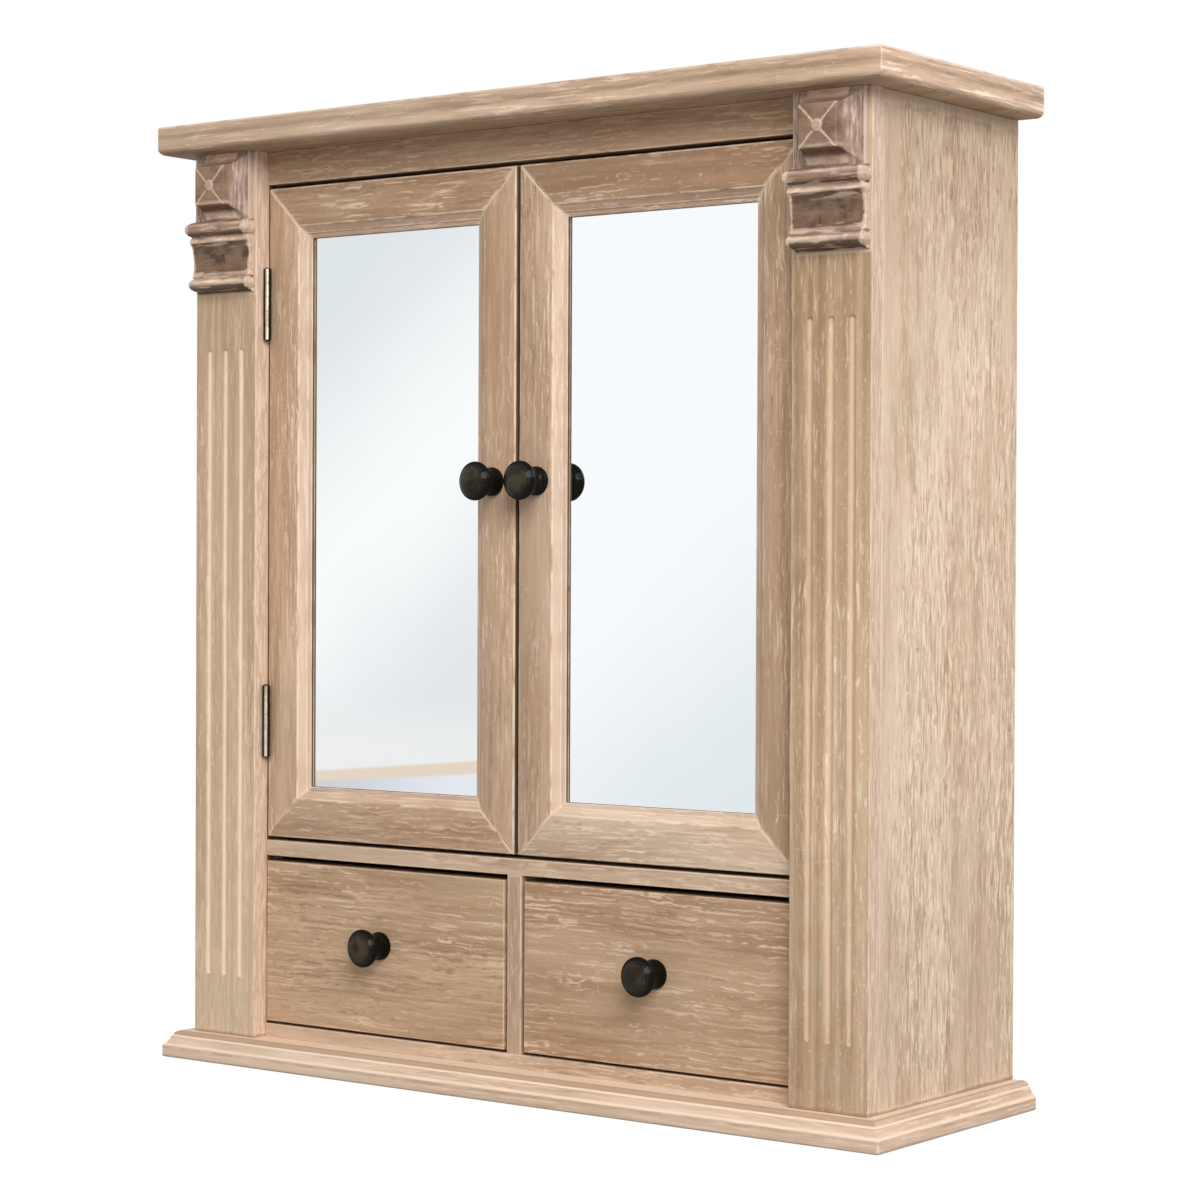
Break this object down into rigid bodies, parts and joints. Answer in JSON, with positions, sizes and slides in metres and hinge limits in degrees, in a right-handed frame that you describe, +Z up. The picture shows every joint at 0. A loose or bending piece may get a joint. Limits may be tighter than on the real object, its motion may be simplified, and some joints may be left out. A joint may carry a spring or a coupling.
{
  "type": "mirror cabinet",
  "caption": "Wall cabinet in limed wood with hinged mirror doors over a row of drawers, between fluted pilasters with carved capitals under a moulded top board.",
  "frame": {"origin": "on the wall plane, at the middle of the lower back edge of the base board", "axes": "+X to the right as seen from the front, +Y into the wall, +Z up; the doors face -Y"},
  "size_m": [0.58, 0.1932, 0.6386],
  "materials": {
    "limed_wood": "washed and waxed, open grain",
    "carved_wood": "dark stain, rubbed pale on the edges",
    "plain_wood": "unfinished, fine sanded",
    "hardboard": "thin brown fibreboard",
    "mirror": "silvered glass",
    "bronze": "dark bronze, glossy",
    "steel": "zinc plated",
    "white_plastic": "matt"
  },
  "bodies": {
    "cabinet": {"crown_board": "limed_wood", "base_board": "limed_wood", "left_side_panel": "limed_wood", "right_side_panel": "limed_wood", "back_panel": "hardboard", "hanging_rail": "plain_wood", "deck_board": "limed_wood", "frieze_rail": "limed_wood", "bottom_rail": "limed_wood", "left_frame_stile": "limed_wood", "right_frame_stile": "limed_wood", "left_pilaster": "limed_wood", "right_pilaster": "limed_wood", "left_capital": "carved_wood", "right_capital": "carved_wood", "drawer_partition": "limed_wood", "drawer_runners": "plain_wood", "shelf": "limed_wood", "shelf_pins": "steel", "magnetic_catch": "white_plastic", "base_screws": "steel", "crown_dowels": "plain_wood", "back_nails": "steel", "hinge_frame_leaves": "bronze", "hinge_pins": "bronze", "frame_screws": "steel"},
    "left_door": {"left_door_outer_stile": "limed_wood", "left_door_inner_stile": "limed_wood", "left_door_top_rail": "limed_wood", "left_door_bottom_rail": "limed_wood", "left_mirror": "mirror", "left_mirror_backing": "hardboard", "left_mirror_points": "steel", "left_hinge_door_leaves": "bronze", "left_door_screws": "steel", "left_strike_plate": "steel", "left_door_knob": "bronze"},
    "right_door": {"right_door_outer_stile": "limed_wood", "right_door_inner_stile": "limed_wood", "right_door_top_rail": "limed_wood", "right_door_bottom_rail": "limed_wood", "right_mirror": "mirror", "right_mirror_backing": "hardboard", "right_mirror_points": "steel", "right_hinge_door_leaves": "bronze", "right_door_screws": "steel", "right_strike_plate": "steel", "right_door_knob": "bronze"},
    "left_drawer": {"left_drawer_front": "limed_wood", "left_drawer_outer_side": "plain_wood", "left_drawer_inner_side": "plain_wood", "left_drawer_back": "plain_wood", "left_drawer_bottom": "hardboard", "left_drawer_knob": "bronze"},
    "right_drawer": {"right_drawer_front": "limed_wood", "right_drawer_outer_side": "plain_wood", "right_drawer_inner_side": "plain_wood", "right_drawer_back": "plain_wood", "right_drawer_bottom": "hardboard", "right_drawer_knob": "bronze"}
  },
  "joints": [
    {"name": "left_door_hinge", "type": "hinge", "parent": "cabinet", "child": "left_door", "pos_m": [-0.2137, -0.1648, 0.3744], "axis": [0, 0, -1], "range_deg": [0, 100]},
    {"name": "right_door_hinge", "type": "hinge", "parent": "cabinet", "child": "right_door", "pos_m": [0.2137, -0.1648, 0.3744], "axis": [0, 0, 1], "range_deg": [0, 100]},
    {"name": "left_drawer_slide", "type": "slide", "parent": "cabinet", "child": "left_drawer", "axis": [0, -1, 0], "range_m": [0, 0.105]},
    {"name": "right_drawer_slide", "type": "slide", "parent": "cabinet", "child": "right_drawer", "axis": [0, -1, 0], "range_m": [0, 0.105]}
  ]
}
